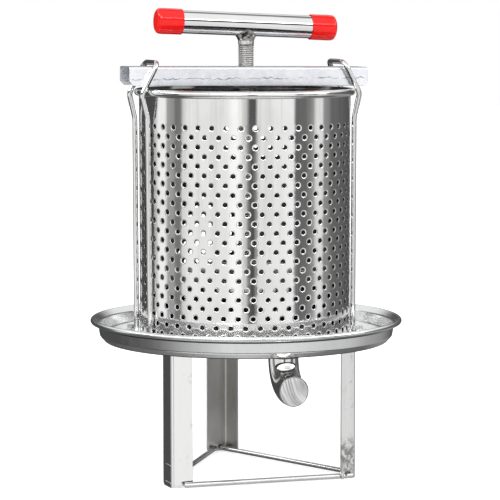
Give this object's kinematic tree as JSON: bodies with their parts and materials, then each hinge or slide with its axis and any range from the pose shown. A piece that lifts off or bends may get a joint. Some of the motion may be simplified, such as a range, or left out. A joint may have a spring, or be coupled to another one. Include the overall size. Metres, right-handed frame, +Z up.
{
  "type": "basket press",
  "caption": "Basket fruit press: perforated steel basket in a drained tray on legs, with a T-handled screw through a crossbar held down by hinged wire loops.",
  "frame": {"origin": "on the ground, on the tray's and basket's common centre line", "axes": "+Z up along the screw, -Y towards the spout, X along the crossbar and the hinged loops' swing"},
  "size_m": [0.3, 0.3, 0.4487],
  "materials": {
    "polished_steel": "polished stainless steel",
    "satin_steel": "satin stainless sheet",
    "sheet_steel": "bright rolled stainless sheet, lightly scuffed",
    "zinc_plate": "bluish zinc plating, cloudy",
    "thread_steel": "rolled thread, slightly dull",
    "red_plastic": "glossy dipped cap"
  },
  "bodies": {
    "stand": {"tray_pan": "satin_steel", "drain_elbow": "polished_steel", "left_leg": "sheet_steel", "right_leg": "sheet_steel", "rear_leg": "sheet_steel", "front_foot_rod": "polished_steel", "left_foot_rod": "polished_steel", "right_foot_rod": "polished_steel", "left_front_clip": "satin_steel", "left_rear_clip": "satin_steel", "right_front_clip": "satin_steel", "right_rear_clip": "satin_steel", "basket_wall": "polished_steel", "basket_floor": "satin_steel", "crossbar": "zinc_plate", "screw_nut": "zinc_plate"},
    "plate": {"press_plate": "satin_steel", "plate_hub": "satin_steel"},
    "spindle": {"screw": "thread_steel", "thrust_washer": "zinc_plate", "lock_washer": "zinc_plate", "lock_nut": "zinc_plate", "handle_tube": "polished_steel", "left_grip": "red_plastic", "right_grip": "red_plastic"},
    "left_wire": {"left_loop": "polished_steel"},
    "right_wire": {"right_loop": "polished_steel"}
  },
  "joints": [
    {"name": "press_travel", "type": "slide", "parent": "stand", "child": "plate", "axis": [0, 0, 1], "range_m": [-0.014, 0.16]},
    {"name": "screw_turn", "type": "hinge", "parent": "plate", "child": "spindle", "pos_m": [0, 0, 0.2], "axis": [0, 0, 1], "range_deg": [-2520, 28800]},
    {"name": "left_loop_swing", "type": "hinge", "parent": "stand", "child": "left_wire", "pos_m": [-0.1023, 0, 0.1385], "axis": [0, -1, 0], "range_deg": [0, 65]},
    {"name": "right_loop_swing", "type": "hinge", "parent": "stand", "child": "right_wire", "pos_m": [0.0999, 0, 0.1385], "axis": [0, 1, 0], "range_deg": [0, 65]}
  ],
  "couplings": [
    {"joint": "press_travel", "follows": "screw_turn", "m_per_rad": 0.0003183}
  ]
}
